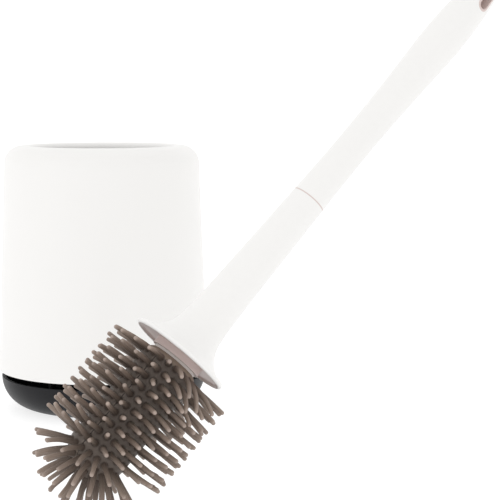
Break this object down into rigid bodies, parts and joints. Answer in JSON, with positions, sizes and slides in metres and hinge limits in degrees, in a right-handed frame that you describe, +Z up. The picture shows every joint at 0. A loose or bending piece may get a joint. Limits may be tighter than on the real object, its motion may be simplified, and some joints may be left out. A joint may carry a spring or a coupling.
{
  "type": "toilet brush and holder",
  "caption": "White toilet brush with a soft bristle head and splash collar, standing beside its round cup holder on a black drip tray.",
  "frame": {"origin": "centre of the foot pad's underside, under the holder's axis, on the floor", "axes": "+Z up along the holder's axis, +X to the right, -Y towards the brush in front of the holder"},
  "size_m": [0.2872, 0.3547, 0.2625],
  "materials": {
    "shell_white": "satin",
    "tray_black": "satin",
    "pad_rubber": "matte",
    "core_grey": "satin",
    "bristle_brown": "matte",
    "trim_taupe": "satin"
  },
  "bodies": {
    "base": {"base_tray": "tray_black", "foot_pad": "pad_rubber"},
    "cup": {"cup_shell": "shell_white", "cup_floor": "tray_black"},
    "brush_head": {"head_carrier": "core_grey", "bristle_sleeve": "bristle_brown"},
    "shaft": {"shaft_shell": "shell_white", "collar_plate": "trim_taupe", "coupler_stud": "trim_taupe"},
    "grip": {"grip_shell": "shell_white", "coupler_socket": "core_grey", "eye_liner": "trim_taupe"}
  },
  "joints": [
    {"name": "cup_lift", "type": "slide", "parent": "base", "child": "cup", "axis": [0, 0, 1], "range_m": [0, 0.06]},
    {"name": "brush_lift", "type": "slide", "parent": "base", "child": "brush_head", "axis": [0, 0, 1], "range_m": [0, 0.15]},
    {"name": "shaft_release", "type": "slide", "parent": "brush_head", "child": "shaft", "axis": [0.6304, 0.2702, 0.7278], "range_m": [0, 0.03]},
    {"name": "grip_release", "type": "slide", "parent": "shaft", "child": "grip", "axis": [0.6304, 0.2702, 0.7278], "range_m": [0, 0.025]}
  ]
}
